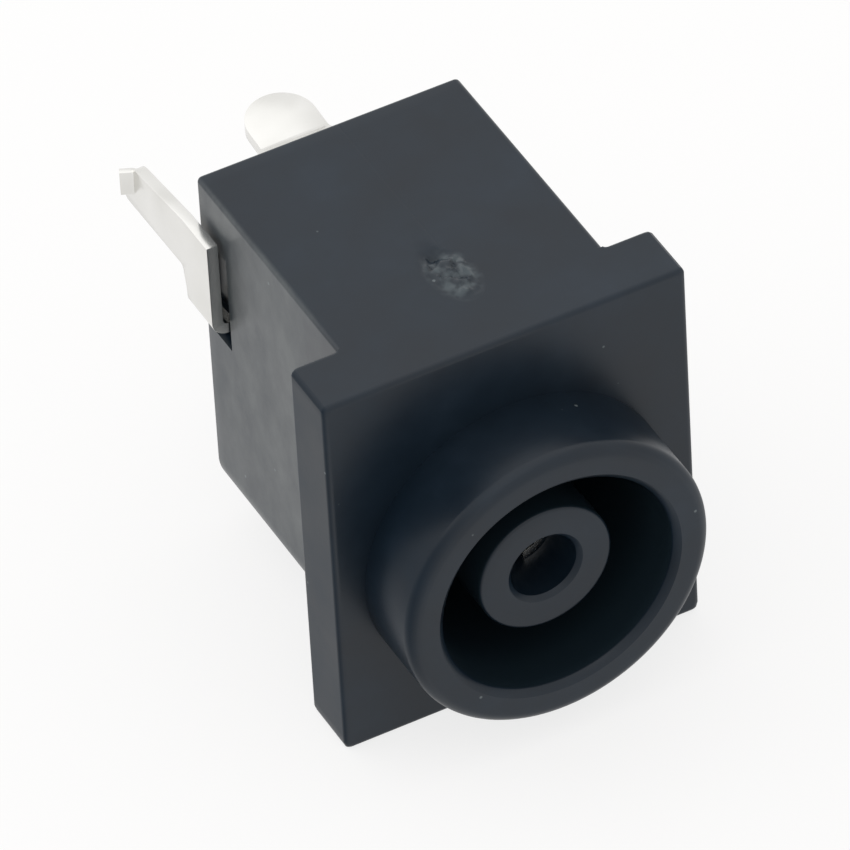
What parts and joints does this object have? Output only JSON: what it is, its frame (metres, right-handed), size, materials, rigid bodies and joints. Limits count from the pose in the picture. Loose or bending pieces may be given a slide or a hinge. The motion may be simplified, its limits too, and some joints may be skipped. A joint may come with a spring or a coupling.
{
  "type": "dc barrel jack",
  "caption": "Panel and board socket for a barrel plug with a centre pin: black square-flanged moulding with a round nose, and flat solder tabs behind.",
  "frame": {"origin": "on the plug axis, in the plane of the flange's front face", "axes": "-Y out of the socket, the way the plug leaves; +Y towards the solder tabs; +Z towards the face that flange and body share"},
  "size_m": [0.0104, 0.0157, 0.0118],
  "materials": {
    "moulded_black": "moulded black plastic with a fine satin grain",
    "tinned_sheet": "tin-plated sheet brass, bright"
  },
  "bodies": {
    "root": {"housing": "moulded_black", "sleeve_contact": "tinned_sheet", "switch_contact": "tinned_sheet", "centre_contact": "tinned_sheet"}
  },
  "joints": []
}
